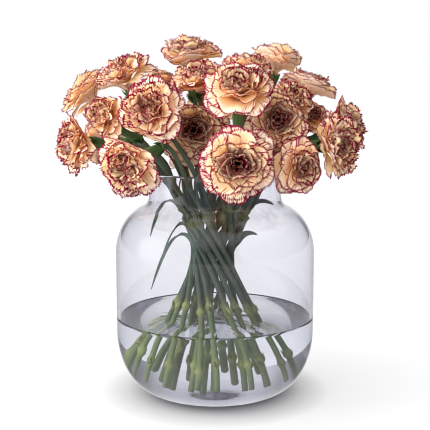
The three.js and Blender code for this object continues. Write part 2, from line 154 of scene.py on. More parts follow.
# A step in these tables gives where it starts and ends, and then, unless it goes from 0 to 1, its values there.
studio = {
    "cameraAt": (0, -0.910, 0.306),
    "cameraDown": 7.77,  # degrees below the horizon
    "lens": 75.2,
    "sensor": 36,
    "clip": (0.05, 50),
    "sky": 1.0,
    "sideStep": (0.15, 0.5, 0.0, 0.75),  # how much darker the studio is to the left and right, above the table
    "frontStep": (-0.1, 0.4, 0.0, 0.75),  # and towards the viewer
    "levelStep": (0.4, 0.75),  # both fade upwards and downwards
    "windowFrom": (-0.956, -0.196, 0.222),  # a soft window, mirrored by the shoulder of the glass
    "windowStep": (0.88, 0.995, 0.0, 1.6),
    "leftSky": 2.5,  # the light that petals and floor gather from the left
    "rightSky": 0.0,  # from the right
    "topSky": 0.9,  # and more of it from above
    "floorSize": 16.0,
    "floorTint": (0.16, 0.16, 0.161),
    # The table glows from below, with painted light and shade: (m from the vase's axis, how much), a painted pool of
    # light in the middle where the water would gather light, a painted shadow round the foot, and white again further
    # out.
    "paintedTableLightAndShadow": [
        (0.0, 1.0), (0.045, 1.0), (0.058, 0.0), (0.066, 0.06), (0.09, 0.38), (0.12, 0.66), (0.3, 0.74), (1.5, 0.84),
    ],
    "lampsAim": (0, 0, 0.2),
    "keyAt": (-1.8, -0.4, 1.4),
    "keyPower": 60,
    "keySize": 1.3,
    "fillAt": (-0.9, -1.6, 0.3),
    "fillPower": 26,
    "fillSize": 1.2,
}


def makeCamera():
    data = bpy.data.cameras.new("camera")
    data.lens = studio["lens"]
    data.sensor_width = studio["sensor"]
    data.clip_start, data.clip_end = studio["clip"]
    camera = linked("camera", data)
    camera.location = studio["cameraAt"]
    camera.rotation_euler = (math.radians(90 - studio["cameraDown"]), 0, 0)
    bpy.context.scene.camera = camera


def makeLamp(name):
    at = studio[name + "At"]
    data = bpy.data.lights.new(name + "Lamp", "AREA")
    data.shape = "DISK"
    data.size = studio[name + "Size"]
    data.energy = studio[name + "Power"]
    lamp = linked(name + "Lamp", data)
    lamp.location = at
    lamp.rotation_euler = (Vector(studio["lampsAim"]) - Vector(at)).to_track_quat("-Z", "Y").to_euler()
    lamp.visible_glossy = False
    lamp.visible_transmission = False


def makeFloor():
    half = studio["floorSize"] / 2
    mesh = bpy.data.meshes.new("floor")
    mesh.from_pydata([(-half, -half, 0), (half, -half, 0), (half, half, 0), (-half, half, 0)], [], [(0, 1, 2, 3)])
    floor = linked("floor", mesh)
    f = Finish("paleFloor")
    away = f.node("ShaderNodeVectorMath", {0: f.objectPoint()}, operation="LENGTH").outputs["Value"]
    # The floor's emission paints light under the vase and a shadow round its foot.
    paintedGlow = studio["paintedTableLightAndShadow"]
    total = paintedGlow[0][1]
    for (nearer, less), (further, more) in zip(paintedGlow, paintedGlow[1:]):
        ramp = {"Value": away, "From Min": nearer, "From Max": further, "To Max": more - less}
        total = f.plus(f.node("ShaderNodeMapRange", ramp).outputs[0], total)
    f.set(Emission_Color=(1, 1, 1, 1), Emission_Strength=total)
    f.set(Base_Color=(*studio["floorTint"], 1), Roughness=0.9, Specular_IOR_Level=0.1)
    mesh.materials.append(f.material)
    floor.visible_glossy = False


def makeSky():
    # Seen straight on, the studio is white all round; glass and petals also find its darker sides and its window.
    world = bpy.data.worlds.new("studioSky")
    world.use_nodes = True
    n = Nodes(world.node_tree)
    way = n.node("ShaderNodeTexCoord").outputs["Generated"]
    x, y, z = n.node("ShaderNodeSeparateXYZ", {0: way}).outputs
    toWindow = n.node("ShaderNodeVectorMath", {0: way, 1: studio["windowFrom"]}, operation="DOT_PRODUCT")
    sides = n.step(n.calc("ABSOLUTE", x), *studio["sideStep"])
    front = n.step(n.times(y, -1.0), *studio["frontStep"])
    level = n.minus(1.0, n.step(n.calc("ABSOLUTE", z), *studio["levelStep"]))
    light = n.times(n.minus(1.0, n.times(n.larger(sides, front), level)), studio["sky"])
    light = n.plus(light, n.step(toWindow.outputs["Value"], *studio["windowStep"]))

    def choose(when, value, other):
        return n.plus(n.times(when, value), n.times(n.minus(1.0, when), other))

    rightward = n.plus(n.times(x, 0.5), 0.5)
    gathered = choose(rightward, studio["rightSky"], studio["leftSky"])
    gathered = n.plus(gathered, n.times(n.larger(z, 0.0), studio["topSky"]))
    path = n.node("ShaderNodeLightPath").outputs
    strength = choose(path["Is Diffuse Ray"], gathered, light)
    strength = choose(path["Is Camera Ray"], studio["sky"], strength)
    sky = n.tree.nodes["Background"]
    n.feed(sky.inputs["Strength"], strength)
    n.feed(sky.inputs["Color"], (1, 1, 1, 1))
    bpy.context.scene.world = world
    bpy.context.scene.view_settings.view_transform = "Standard"


makeCamera()
makeSky()
makeFloor()
makeLamp("key")
makeLamp("fill")
print("camera, floor and lamps are in place")


def makeDraw(seed):
    # A repeatable draw, the same as the part's own, as the least and how much more there may be.
    state = seed * 7919 + 17

    def draw(least=0, more=1):
        nonlocal state
        state = (state * 16807) % 2147483647
        return least + more * (state / 2147483647)

    return draw


def unit(v):
    v = np.asarray(v, float)
    return v / np.linalg.norm(v)


def smoothStep(low, high, x):
    t = np.clip((np.asarray(x, float) - low) / (high - low), 0, 1)
    return t * t * (3 - 2 * t)


def axesAcross(direction):
    helper = np.array([0.0, 1, 0]) if abs(direction[2]) > 0.95 else np.array([0.0, 0, 1])
    u = unit(np.cross(helper, direction))
    return u, np.cross(direction, u)


def bezier(points, t):
    a, b, c, d = (np.asarray(p, float) for p in points)
    t = np.asarray(t, float)[..., None]
    return (1 - t) ** 3 * a + 3 * (1 - t) ** 2 * t * b + 3 * (1 - t) * t ** 2 * c + t ** 3 * d


def rotated(x, y, angle):
    c, s = math.cos(angle), math.sin(angle)
    return x * c - y * s, x * s + y * c


def anglesRound(count):
    return np.arange(count) * 2 * math.pi / count


def circle(angles, r, u, v):
    return np.outer(r * np.cos(angles), u) + np.outer(r * np.sin(angles), v)


class Shape:
    # Gathers the points and faces of one piece, each face with its finish and each point with its marks.
    def __init__(self):
        self.points = []
        self.faces = []
        self.finish = []
        self.marks = {}
        self.count = 0

    def add(self, points, faces, finish=0, **marks):
        points = np.asarray(points, float).reshape(-1, 3)
        self.faces += [tuple(i + self.count for i in face) for face in faces]
        self.finish += [finish] * len(faces)
        self.points.append(points)
        for name, values in marks.items():
            values = np.broadcast_to(np.asarray(values, float), (len(points),))
            self.marks.setdefault(name, []).append((self.count, values))
        self.count += len(points)

    def addRings(self, rings, finish=0, **marks):
        self.add(rings, ringFaces(len(rings), len(rings[0])), finish, **marks)

    def mesh(self, name, materials):
        mesh = bpy.data.meshes.new(name)
        mesh.from_pydata(np.concatenate(self.points) * metre, [], self.faces)
        for material in materials:
            mesh.materials.append(material)
        mesh.polygons.foreach_set("material_index", self.finish)
        mesh.polygons.foreach_set("use_smooth", [True] * len(self.faces))
        for mark, parts in self.marks.items():
            values = np.zeros(self.count, np.float32)
            for start, part in parts:
                values[start:start + len(part)] = part
            mesh.attributes.new(mark, "FLOAT", "POINT").data.foreach_set("value", values)
        mesh.update()
        return mesh


def ringFaces(rows, columns, closedEnds=True):
    # Faces of a skin made of rings, with a flat cap on each end.
    faces = []
    for i in range(rows - 1):
        a, b = i * columns, (i + 1) * columns
        for j in range(columns):
            k = (j + 1) % columns
            faces.append((a + j, a + k, b + k, b + j))
    if closedEnds:
        faces.append(tuple(reversed(range(columns))))
        faces.append(tuple((rows - 1) * columns + j for j in range(columns)))
    return faces


def place(mesh, name, nodes):
    piece = linked(name, mesh)
    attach(piece, "root")
    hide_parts(*nodes)
    return piece


petalLook = {
    "cream": hexTint("fef7ee"),
    "buff": hexTint("faebc8"),
    "amber": hexTint("f4d79e"),
    "tan": hexTint("e6ae66"),
    "crimson": hexTint("98003f"),
    "wine": hexTint("8a1638"),
    "back": hexTint("fdf6e6"),
    "through": hexTint("fff0da"),  # light that comes through a petal is warmer than what it throws back
    "throughLight": 0.58,
    # Noise: how fast it changes across the petal and inwards, its offset, scale and detail.
    "drift": (0.08, 0.06, 0.0, 2.0, 2.0),
    "veins": (1.2, 0.04, 0.0, 1.0, 3.0),
    "ragged": (0.8, 0.0, 0.0, 1.0, 3.0),
    "streak": (0.55, 0.02, 0.0, 1.0, 2.0),
    "longer": (0.15, 0.0, 3.7, 1.0, 2.0),
    "fleck": (1.1, 0.3, 0.0, 1.0, 1.0),
    "toneShift": 60.0,  # every petal finds its marks in another part of the noise
    # Each colour's step, in mm from the rim; amber and tan, further in, are partly the petal's own colour and partly
    # painted warm shade.
    "buffStep": (2.0, 11.0),
    "amberStep": (13.0, 27.0),
    "tanStep": (25.0, 40.0),
    "driftBy": (12.0, -6.0),
    "innerShadeDepth": 20.0,  # the middle petals count as lying this much further in, under more painted shade
    "veinStep": (0.52, 0.72, 0.0, 0.3),
    "veinRelief": (0.25, 0.0006),
    "edgeWidth": 1.5,  # mm
    "innerEdge": 1.0,  # mm, in the middle of a plainly marked bloom
    "denseEdge": 1.45,  # mm, in the middle of a densely marked one
    "edgeInner": (0.1, 0.6),  # from the outer petals to the inner ones
    "raggedBy": (2.0, -1.0),
    "edgeStep": (-0.25, 0.3, 1.0, 0.0),
    "backInner": (0.1, 0.6, 0.85, 0.3),
    "backEdge": 0.65,
    "streakStep": (0.565, 0.605),
    "strokeReach": (20.0, -3.0),
    "strokeStep": (-2.0, 0.5, 1.0, 0.0),
    "strokeInner": (0.2, 0.7, 0.95, 0.35),
    "fleckStep": (0.68, 0.75, 0.0, 0.5),
    "stainAndShadeInner": (0.4, 0.85),
    "stainAndShadeStep": (0.5, 6.0, 0.25, 1.0),
    "stainAndShadeSpared": 0.75,  # how much of the wine stain and painted shade a densely marked bloom goes without
}


def makePetalFinish(name, isBack):
    f, look = Finish(name), petalLook
    across, rimGap = f.mark("across"), f.mark("rimGap")
    tone, inner, dense = f.mark("tone"), f.mark("inner"), f.mark("dense")
    shift = f.times(tone, look["toneShift"])

    def pattern(key):
        wide, long, offset, scale, detail = look[key]
        return f.noise(f.vector(f.times(across, wide), f.scaled(rimGap, long, offset), shift), scale, detail)

    # Colour runs from cream at the rim to amber and tan near the claw: partly the petal's own colour, partly painted
    # warm shade deep in the bloom.
    depth = f.plus(rimGap, f.scaled(pattern("drift"), *look["driftBy"]))
    depth = f.plus(depth, f.times(inner, look["innerShadeDepth"]))
    colour = look["cream"]
    for tint in ("buff", "amber", "tan"):
        colour = f.mix(f.step(depth, *look[tint + "Step"]), colour, look[tint])
    # Fine veins that fan out to the rim.
    veins = pattern("veins")
    colour = f.mix(f.step(veins, *look["veinStep"]), colour, look["amber"])
    # The crimson edge, ragged inwards, with broader strokes here and there.
    middle = f.scaled(dense, look["denseEdge"] - look["innerEdge"], look["innerEdge"])
    width = f.minus(middle, look["edgeWidth"])
    width = f.scaled(width, f.step(inner, *look["edgeInner"]), look["edgeWidth"])
    width = f.plus(width, f.scaled(pattern("ragged"), *look["raggedBy"]))
    edge = f.step(f.minus(rimGap, width), *look["edgeStep"])
    if isBack:
        colour = f.mix(f.step(inner, *look["backInner"]), colour, look["back"])
        paint = f.times(edge, look["backEdge"])
    else:
        reach = f.scaled(pattern("longer"), *look["strokeReach"])
        stroke = f.step(pattern("streak"), *look["streakStep"])
        stroke = f.times(stroke, f.step(f.minus(rimGap, reach), *look["strokeStep"]))
        stroke = f.times(stroke, f.step(inner, *look["strokeInner"]))
        fleck = f.step(pattern("fleck"), *look["fleckStep"])
        paint = f.larger(edge, f.larger(stroke, fleck))
    colour = f.mix(paint, colour, look["crimson"])
    # The heart of an open bloom is stained with wine, partly a real stain and partly painted shade, deeper down more
    # so.
    stainAndShade = f.times(f.step(inner, *look["stainAndShadeInner"]), f.step(rimGap, *look["stainAndShadeStep"]))
    colour = f.mix(f.times(stainAndShade, f.scaled(dense, -look["stainAndShadeSpared"], 1.0)), colour, look["wine"])
    f.set(Base_Color=colour, Roughness=0.75, Specular_IOR_Level=0.06)
    f.bump(veins, *look["veinRelief"])
    warmer = f.mix(1.0, colour, look["through"], "MULTIPLY")
    f.blendWith(f.node("ShaderNodeBsdfTranslucent", {"Color": warmer}), look["throughLight"])
    return f.material


greenLook = {
    "stem": hexTint("2c3a2b"),
    "stemGrey": hexTint("53614f"),
    "stemPatches": (90, 3),  # scale and detail
    "stemGrain": (700, 2),
    "stemRelief": (0.15, 0.0004),
    "node": hexTint("a9b263"),
    "nodeMost": 0.85,
    "low": hexTint("788a55"),
    "lowStep": (60.0, 110.0, 0.75, 0.0),  # mm above the table
    "calyx": hexTint("3d5a2c"),
    "calyxRib": hexTint("587243"),
    "ribStep": (0.2, 1.0, 0.0, 0.5),
    "leaf": hexTint("4a5d52"),
    "leafDark": hexTint("2b3a33"),
    "leafPatches": (60, 2),
    "leafEdge": hexTint("7f9184"),
    "leafLines": (9.0, 0.8),  # how fast they change across and along
    "lineStep": (0.5, 0.75, 0.0, 0.5),
    "lineRelief": (0.3, 0.0004),
    "borderStep": (0.8, 1.0, 0.0, 0.6),
}


def makeStemFinish():
    f, look = Finish("stemGreen"), greenLook
    point = f.objectPoint()
    swell, height = f.mark("swell"), f.mark("height")
    colour = f.mix(f.noise(point, *look["stemPatches"]), look["stem"], look["stemGrey"])
    colour = f.mix(f.step(height, *look["lowStep"]), colour, look["low"])
    colour = f.mix(f.times(swell, look["nodeMost"]), colour, look["node"])
    f.set(Base_Color=colour, Roughness=0.5, Specular_IOR_Level=0.4)
    f.bump(f.noise(point, *look["stemGrain"]), *look["stemRelief"])
    return f.material


def makeCalyxFinish():
    f, look = Finish("calyxGreen"), greenLook
    ribs = f.step(f.mark("rib"), *look["ribStep"])
    f.set(Base_Color=f.mix(ribs, look["calyx"], look["calyxRib"]), Roughness=0.5, Specular_IOR_Level=0.35)
    return f.material


def makeLeafFinish():
    f, look = Finish("leafGreen"), greenLook
    across, along = f.mark("across"), f.mark("along")
    wide, long = look["leafLines"]
    lines = f.noise(f.vector(f.times(across, wide), f.times(along, long), 0.0), 1.0, 3.0)
    colour = f.mix(f.noise(f.objectPoint(), *look["leafPatches"]), look["leafDark"], look["leaf"])
    colour = f.mix(f.step(lines, *look["lineStep"]), colour, look["leafEdge"])
    border = f.step(f.calc("ABSOLUTE", across), *look["borderStep"])
    f.set(Base_Color=f.mix(border, colour, look["leafEdge"]), Roughness=0.42, Specular_IOR_Level=0.5)
    f.bump(lines, *look["lineRelief"])
    return f.material


clearLook = {
    "clearGlass": {"ior": 1.5, "veil": hexTint("cbcbdc"), "density": 90.0},
    "stillWater": {"ior": 1.333, "veil": hexTint("e4ecf4"), "density": 2.2},
    "lampTint": (0.96, 0.96, 0.97, 1),
}


def makeClearFinish(name):
    # Clear stuff that bends light; lamps reach what stands behind it.
    f, look = Finish(name), clearLook[name]
    f.set(Base_Color=(1, 1, 1, 1), Roughness=0.0, IOR=look["ior"], Transmission_Weight=1.0)
    isShadow = f.node("ShaderNodeLightPath").outputs["Is Shadow Ray"]
    f.blendWith(f.node("ShaderNodeBsdfTransparent", {"Color": clearLook["lampTint"]}), isShadow)
    veil = f.node("ShaderNodeVolumeAbsorption", {"Color": look["veil"], "Density": look["density"]})
    f.feed(f.output.inputs["Volume"], veil.outputs[0])
    return f.material


petalFace = makePetalFinish("petalFace", False)
petalBack = makePetalFinish("petalBack", True)
stemGreen = makeStemFinish()
calyxGreen = makeCalyxFinish()
leafGreen = makeLeafFinish()
clearGlass = makeClearFinish("clearGlass")
stillWater = makeClearFinish("stillWater")
print("finishes are mixed")


# One row for each bloom: its middle, the way it faces, its diameter and the swing of its stem.
blooms = [
    ((21, -92, 242), (0, -0.99, 0.05), 74, 0),
    ((-60, -66, 286), (-0.35, -0.8, 0.48), 73, 18),
    ((23, -60, 306), (0.02, -0.58, 0.81), 75, 0),
    ((-22, -4, 268), (0.04, -0.99, 0.12), 75, 0),
    ((-79, -74, 240), (-0.6, -0.72, -0.3), 72, 0),
    ((-134, -24, 258), (-0.88, -0.46, 0.12), 68, 0),
    ((-133, 34, 304), (-0.72, 0.02, 0.69), 64, 0),
    ((-93, 0, 320), (-0.5, -0.22, 0.83), 68, 0),
    ((-107, -22, 281), (-0.7, -0.5, 0.5), 64, 0),
    ((-28, 42, 341), (-0.14, -0.22, 0.97), 75, -40),
    ((-17, 0, 316), (-0.25, -0.42, 0.87), 66, 0),
    ((-54, 46, 311), (-0.25, 0.3, 0.9), 60, 0),
    ((33, 24, 329), (0.05, -0.05, 0.99), 60, 0),
    ((66, 56, 337), (0.3, 0.1, 0.95), 64, 0),
    ((93, 30, 309), (0.3, -0.05, 0.95), 70, 0),
    ((76, -4, 296), (0.3, -0.45, 0.84), 60, 0),
    ((60.5, -34, 278), (0.15, -0.93, 0.32), 67, 0),
    ((98, 13, 281), (0.3, -0.72, 0.62), 46, 0),
    ((114, -44, 255), (0.72, -0.68, 0.05), 70, 16),
    ((130, 6, 272), (0.8, -0.4, 0.42), 64, 0),
    ((80, -64, 239), (0.5, -0.83, -0.2), 61, -8),
    ((-66, 82, 288), (-0.5, 0.71, 0.5), 64, 0),
    ((2, 98, 300), (0, 0.8, 0.6), 66, 0),
    ((70, 92, 278), (0.46, 0.81, 0.36), 64, 0),
    ((-22, 104, 240), (-0.1, 0.99, -0.05), 64, 0),
    ((-120, 66, 256), (-0.71, 0.69, 0.1), 62, 0),
]

# One row for each leaf: its bloom, the height of its node, its bearing off the outward
# direction, its length, and how far it leans out and curls down.
leaves = [
    (1, 188, 0, 82, 0.25, 0),
    (2, 183, 0, 82, 0.25, 0),
    (5, 183, 80, 82, 0.25, 0),
    (6, 178, 110, 82, 0.25, 0),
    (7, 183, 20, 62, 0.3, 0.9),
    (9, 177, 110, 82, 0.25, 0),
    (9, 150, 25, 56, 0.6, 0.9),
    (14, 180, -110, 82, 0.25, 0),
    (18, 150, 0, 58, 0.7, 0.7),
    (19, 184, 0, 40, 0.4, 0.3),
    (19, 150, 15, 36, 0.6, 0.3),
    (20, 179, -110, 82, 0.25, 0),
    (21, 188, 0, 82, 0.25, 0),
    (22, 160, 0, 66, 0.4, 1),
    (24, 150, 0, 60, 0.6, 0.8),
    (26, 177, 50, 82, 0.25, 0),
    (26, 150, 0, 72, 0.5, 1.1),
]

bunch = {
    "waistZ": 146,
    "waistR": 22,
    "waistShare": 0.75,  # of the way out to its bloom, at most, for a stem at the waist
    "spacing": 7.8,
    "pushRounds": 300,
    "pushShare": 0.35,
    "twist": 0.0282,
    "twistEase": 1.3e-4,  # below the waist the stems wind less and spread nearly straight
    "spreadDown": 0.0276,
    "spreadEase": 2.3e-5,
    "sway": 4,
    "swayMost": 1.4,
    "swayWaves": ((1.3, 2.1), (2.9, -1.7)),
    "neckZ": 230,
    "forward": 22,
    "forwardZ": 100,
    "forwardSpan": 55,
    "calyxReach": 44,
    # A stem leaves the spiral the later, the further out its calyx is: (nearer than this, height).
    "leaveAt": ((60, 196), (75, 212), (math.inf, 226)),
    "leaveEase": 0.42,  # how much of the way it keeps its heading, and takes up that of its bloom
    "arriveEase": 0.38,
    "turnSeed": 51,
    "courseSeed": 1,
    "growthSeed": 701,
}

# A pair that is drawn from gives the least and how much more there may be.
stemSize = {
    "footZ": 13,
    "footRise": 0.55,
    "footBevel": 0.4,
    "bottomR": 2.8,
    "topR": 2.4,
    "topZ": 230,
    "nodeR": 3.9,
    "lowNodeZ": (84, 26),
    "highNodeZ": (176, 14),
    "footNodeDrop": (44, 10),
    "topNodeRise": (46, 10),
    "nodeClear": 5,  # how far a node stays from the ends of the spiral
    "nodeSteps": (-4.5, -3, -1.8, -0.8, 0, 0.8, 1.8, 3, 4.5),
    "nodeMore": 0.3,
    "swellHalf": 2.6,
    "paleHalf": 4.5,
    "paleUnder": 125,  # nodes are paler below this height
    "paleLow": 0.65,
    "paleHigh": 0.2,
    "lean": (0.06, 0.06),  # how oval a node is
    "intoCalyx": 4,
    "sides": 14,
    "risePerRing": 4,
    "ringsToCalyx": 14,
}


def turnAt(z):
    rise = z - bunch["waistZ"]
    return bunch["twist"] * rise + (bunch["twistEase"] * rise * rise if rise < 0 else 0)


def spreadAt(z):
    rise = z - bunch["waistZ"]
    if rise >= 0:
        return math.hypot(1, turnAt(z))
    return math.hypot(1, bunch["spreadDown"] * rise + bunch["spreadEase"] * rise * rise)


def middleAt(z):
    return -bunch["forward"] / (1 + ((z - bunch["forwardZ"]) / bunch["forwardSpan"]) ** 2)


def spiral(spot, z):
    # A stem that passes the waist at this spot is here at height z; lower down it strays a little on its own.
    spread, (x, y) = spreadAt(z), rotated(*spot, -math.atan(turnAt(z)))
    point = [spread * x, middleAt(z) + spread * y, z]
    if z < bunch["waistZ"]:
        sway = bunch["sway"] * min(spread - 1, bunch["swayMost"])
        for axis, (a, b) in enumerate(bunch["swayWaves"]):
            point[axis] += sway * math.sin(a * spot[0] + b * spot[1])
    return np.array(point)


def makeSites():
    sites = []
    for i, (at, faces, across, swing) in enumerate(blooms):
        faces = unit(faces)
        at = np.array(at, float)
        u, v = axesAcross(faces)
        sites.append({
            "at": at,
            "faces": faces,
            "u": u,
            "v": v,
            "radius": across / 2,
            "swing": swing,
            "calyxFoot": at - bunch["calyxReach"] * faces,
            "turn": makeDraw(bunch["turnSeed"] + i)() * 2 * math.pi,
        })
    return sites


def waistSpots(sites):
    # Where the stems pass the waist: towards their blooms, and pushed apart until they fit side by side.
    atNeck = turnAt(bunch["neckZ"])
    spots = []
    for site in sites:
        x, y = site["calyxFoot"][0], site["calyxFoot"][1] - middleAt(bunch["neckZ"])
        r = min(bunch["waistR"], bunch["waistShare"] * math.hypot(x, y) / math.hypot(1, atNeck))
        bearing = math.atan2(y, x) + math.radians(site["swing"]) + math.atan(atNeck)
        spots.append([r * math.cos(bearing), r * math.sin(bearing)])
    spots = np.array(spots)
    for _ in range(bunch["pushRounds"]):
        away = spots[None, :, :] - spots[:, None, :]
        apart = np.linalg.norm(away, axis=2)
        push = np.where((apart < bunch["spacing"]) & (apart > 0), bunch["spacing"] - apart, 0)
        spots = spots - (away * (bunch["pushShare"] * push / np.maximum(apart, 1e-6))[:, :, None]).sum(1)
        length = np.linalg.norm(spots, axis=1)
        spots *= (np.minimum(length, bunch["waistR"]) / np.maximum(length, 1e-9))[:, None]
    return spots


def stemCourse(site, spot, i):
    foot = site["calyxFoot"]
    reach = math.hypot(foot[0], foot[1])
    leaveZ = next(z for nearer, z in bunch["leaveAt"] if reach < nearer)
    start = spiral(spot, leaveZ)
    heading = unit(spiral(spot, leaveZ + 0.5) - spiral(spot, leaveZ - 0.5))
    span = np.linalg.norm(start - foot)
    leave, arrive = heading * span * bunch["leaveEase"], site["faces"] * span * bunch["arriveEase"]
    draw = makeDraw(bunch["courseSeed"] + i)
    nodes = [draw(*stemSize["lowNodeZ"]), draw(*stemSize["highNodeZ"])]
    nodes += [nodes[0] - draw(*stemSize["footNodeDrop"]), nodes[1] + draw(*stemSize["topNodeRise"])]
    return {
        "spot": spot,
        "leaveZ": leaveZ,
        "free": (start, start + leave, foot - arrive, foot),
        "nodes": nodes,
        "footZ": stemSize["footZ"] + stemSize["footRise"] * np.linalg.norm(spot),
    }


sites = makeSites()
courses = [stemCourse(site, spot, i) for i, (site, spot) in enumerate(zip(sites, waistSpots(sites)))]


# The stripped foot of a leaf pair, in mm, clasping its node.
sheathSize = {
    "nodes": 3,  # how many of a stem's nodes may have one
    "clear": 3,
    "length": (3.5, 6),
    "drop": 2.5,
    "rings": 5,
    "half": 2.6,
    "tip": 1.02,
    "wrapR": 3.4,
    "swellHalf": 2.8,
    "off": 0.35,
    "flare": 1.4,
    "outline": ((-1, 0), (0, 0.35), (1, 0), (0, -0.45)),
    "pale": 0.25,
}

calyxSize = {
    "sides": 20,
    "ribs": 10,
    "ribDepth": 0.1,
    "profile": [(-2, 2.5), (0, 3.2), (3, 4.6), (8, 5.3), (16, 5.8), (24, 6.2), (29, 6.4)],
    "teeth": 5,
    "toothH": 31,
    "toothLength": 8,
    "toothLow": 0.6,
    "toothR": (6.6, 0.6),  # at a notch, and how much more at a tip
    "wall": 0.6,
    "inside": (27, 5.2),  # the height and radius at which the lining ends
    "bracts": 4,
    "bractLength": 11,
    "bractShort": 0.8,
    "bractRings": 7,
    "bractFrom": -3,
    "bractHalf": 4.2,
    "bractSpan": (0.28, 0.72, 0.985),
    "bractR": (3.0, 3.2),
    "bractWrapR": 5.5,
    "bractOff": 0.5,
    "bractThick": 0.6,
    "bractOutline": ((-1, -0.5), (0, 0.45), (1, -0.5), (0, -0.35)),
    "bractRib": 0.3,
}

leafSize = {
    "width": 10.5,
    "rootWidth": 0.62,
    "rootEnds": (0, 0.2),
    "off": 1.5,
    "slowing": 0.35,
    "channel": 1.5,  # depth of the fold along the middle
    "channelLess": 0.5,
    "thick": 0.7,
    "thickLess": 0.4,
    "rings": 18,
    "tip": 0.995,
    "twist": 45,  # degrees, from root to tip
    # Over the top from edge to edge, then back along the keel: across, in the fold, in the thickness.
    "outline": (
        (-1, 0, 0), (-0.5, -0.62, 0.5), (0, -1, 0.4), (0.5, -0.62, 0.5), (1, 0, 0),
        (0.5, -0.62, -0.5), (0, -1, -0.8), (-0.5, -0.62, -0.5),
    ),
}


def sweep(stops, radii, sides, squash=None):
    # Rings of points square to a line, never twisted.
    stops = np.asarray(stops, float)
    along = np.gradient(stops, axis=0)
    u = np.array([1.0, 0, 0])
    a = anglesRound(sides)
    rings = []
    for i, point in enumerate(stops):
        t = unit(along[i])
        u = unit(u - t * u.dot(t))
        v = np.cross(t, u)
        r = radii[i] * (1 if squash is None else squash(a, i))
        rings.append(point + circle(a, r, u, v))
    return np.array(rings)


def wrapped(middle, out, across, away, angle, lift):
    # A point at this angle round an axis, seen from the outward direction, and lifted off.
    return middle + out * (away * math.cos(angle) + lift) + across * away * math.sin(angle)


def stemRadius(z):
    return stemSize["bottomR"] + (stemSize["topR"] - stemSize["bottomR"]) * z / stemSize["topZ"]


def addStem(shape, course, site, draw):
    m, footZ, leaveZ = stemSize, course["footZ"], course["leaveZ"]
    nodes = [z for z in course["nodes"] if footZ + m["nodeClear"] < z < leaveZ - m["nodeClear"]]
    near = [z + d for z in nodes for d in m["nodeSteps"]]
    heights = np.concatenate([np.arange(footZ, leaveZ, m["risePerRing"]), near, [footZ + m["footBevel"]]])
    heights = np.unique(np.round(heights, 2))
    stops = [spiral(course["spot"], z) for z in heights]
    radii, swells = [], []
    for z in heights:
        off = min(abs(z - n) for n in nodes)
        swell = math.exp(-((off / m["swellHalf"]) ** 2))
        radii.append(stemRadius(z) + (m["nodeR"] + m["nodeMore"] - stemRadius(z)) * swell)
        pale = m["paleLow"] if z < m["paleUnder"] else m["paleHigh"]
        swells.append(pale * math.exp(-((off / m["paleHalf"]) ** 2)))
    radii[0] -= m["footBevel"]
    stops += [bezier(course["free"], t) for t in np.linspace(0, 1, m["ringsToCalyx"])[:-1]]
    stops.append(site["calyxFoot"] + site["faces"] * m["intoCalyx"])
    radii += [m["topR"]] * m["ringsToCalyx"]
    swells += [0] * m["ringsToCalyx"]
    lean, phase = draw(*m["lean"]), draw(0, fullTurn)
    rings = sweep(stops, radii, m["sides"], lambda a, i: 1 + lean * swells[i] * np.cos(2 * a + phase))
    shape.addRings(rings, 0, swell=np.repeat(swells, m["sides"]), height=rings[:, :, 2].ravel())


def addSheaths(shape, course, draw):
    m = sheathSize
    for node in course["nodes"][:m["nodes"]]:
        bearing = draw(0, math.pi)
        for side in (0, math.pi):
            length = draw(*m["length"])
            if node - m["clear"] < course["footZ"]:
                continue
            a = bearing + side
            out = np.array([math.cos(a), math.sin(a), 0])
            across = np.array([-math.sin(a), math.cos(a), 0])
            rings = []
            for t in np.linspace(0, 1, m["rings"]):
                z = node - m["drop"] + length * t
                middle, stemR = spiral(course["spot"], z), stemRadius(z)
                swell = math.exp(-(((z - node) / m["swellHalf"]) ** 2))
                away = stemR + (stemSize["nodeR"] - stemR) * swell + m["off"] + m["flare"] * t * t
                half = m["half"] * math.sqrt(m["tip"] - t)
                rings.append([wrapped(middle, out, across, away, half * x / m["wrapR"], d) for x, d in m["outline"]])
            shape.addRings(rings, 0, swell=m["pale"], height=node)


def addCalyx(shape, site, draw):
    m = calyxSize
    sides, foot, ahead = m["sides"], site["calyxFoot"], site["faces"]
    a = anglesRound(sides)
    turn = draw(0, fullTurn)
    ribs = np.cos(a * m["ribs"])

    def ring(h, r):
        return foot + np.outer(np.broadcast_to(h, sides), ahead) + circle(a + turn, r, site["u"], site["v"])

    rings = [ring(h, r + m["ribDepth"] * ribs) for h, r in m["profile"]]
    # The mouth stands up in pointed teeth.
    tooth = np.abs(((a * m["teeth"] / (2 * math.pi)) % 1) - 0.5) * 2
    h = m["toothH"] + m["toothLength"] * (tooth - m["toothLow"])
    r = m["toothR"][0] + m["toothR"][1] * tooth
    rings += [ring(h, r), ring(h - 0.2, r - m["wall"]), ring(*m["inside"])]
    marks = [ribs * 0.5 + 0.5] * (len(rings) - 2) + [np.zeros(sides)] * 2
    shape.addRings(rings, 1, rib=np.concatenate(marks))
    # Small scales overlap round its foot.
    for k in range(m["bracts"]):
        angle = turn + math.pi * (k + 0.5) / 2
        out = math.cos(angle) * site["u"] + math.sin(angle) * site["v"]
        side = np.cross(ahead, out)
        length = m["bractLength"] * (1 if k % 2 else m["bractShort"])
        rings = []
        for t in np.linspace(0, 1, m["bractRings"]):
            start, share, most = m["bractSpan"]
            half = m["bractHalf"] * math.sin(math.pi * min(start + share * t, most)) ** 0.8
            reach = m["bractR"][0] + m["bractR"][1] * smoothStep(0, 0.6, t)
            middle = foot + ahead * (m["bractFrom"] + length * t)
            rings.append([
                wrapped(middle, out, side, reach, half * x / m["bractWrapR"], m["bractOff"] + d * m["bractThick"])
                for x, d in m["bractOutline"]
            ])
        shape.addRings(rings, 1, rib=m["bractRib"])


